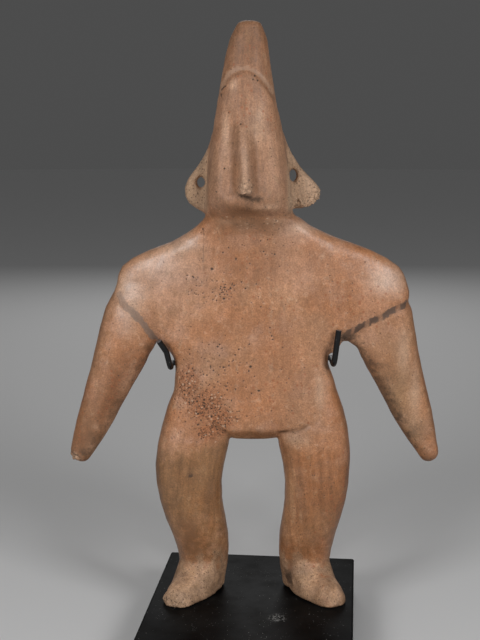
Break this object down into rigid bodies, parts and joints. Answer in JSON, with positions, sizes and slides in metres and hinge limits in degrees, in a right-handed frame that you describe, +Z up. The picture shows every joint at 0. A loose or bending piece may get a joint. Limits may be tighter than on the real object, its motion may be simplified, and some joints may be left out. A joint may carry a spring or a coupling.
{
  "type": "colima shaman figure",
  "caption": "Standing slab-built fired clay figure with a tall horn, stub arms and bowed legs, held upright on a black block by steel support rods.",
  "frame": {"origin": "middle of the underside of the stand's block", "axes": "+Z up along the figure to the tip of its horn, -Y the way the figure faces, +X towards the viewer's right"},
  "size_m": [0.2087, 0.138, 0.3433],
  "materials": {
    "fired_clay": "burnished buff to orange fired clay with traces of dark paint, worn and pitted",
    "black_block": "satin black paint, a little dusty",
    "black_steel": "matt black paint with bare cut ends"
  },
  "bodies": {
    "root": {"shaman_figure": "fired_clay", "stand_block": "black_block", "left_support_rod": "black_steel", "right_support_rod": "black_steel"}
  },
  "joints": []
}
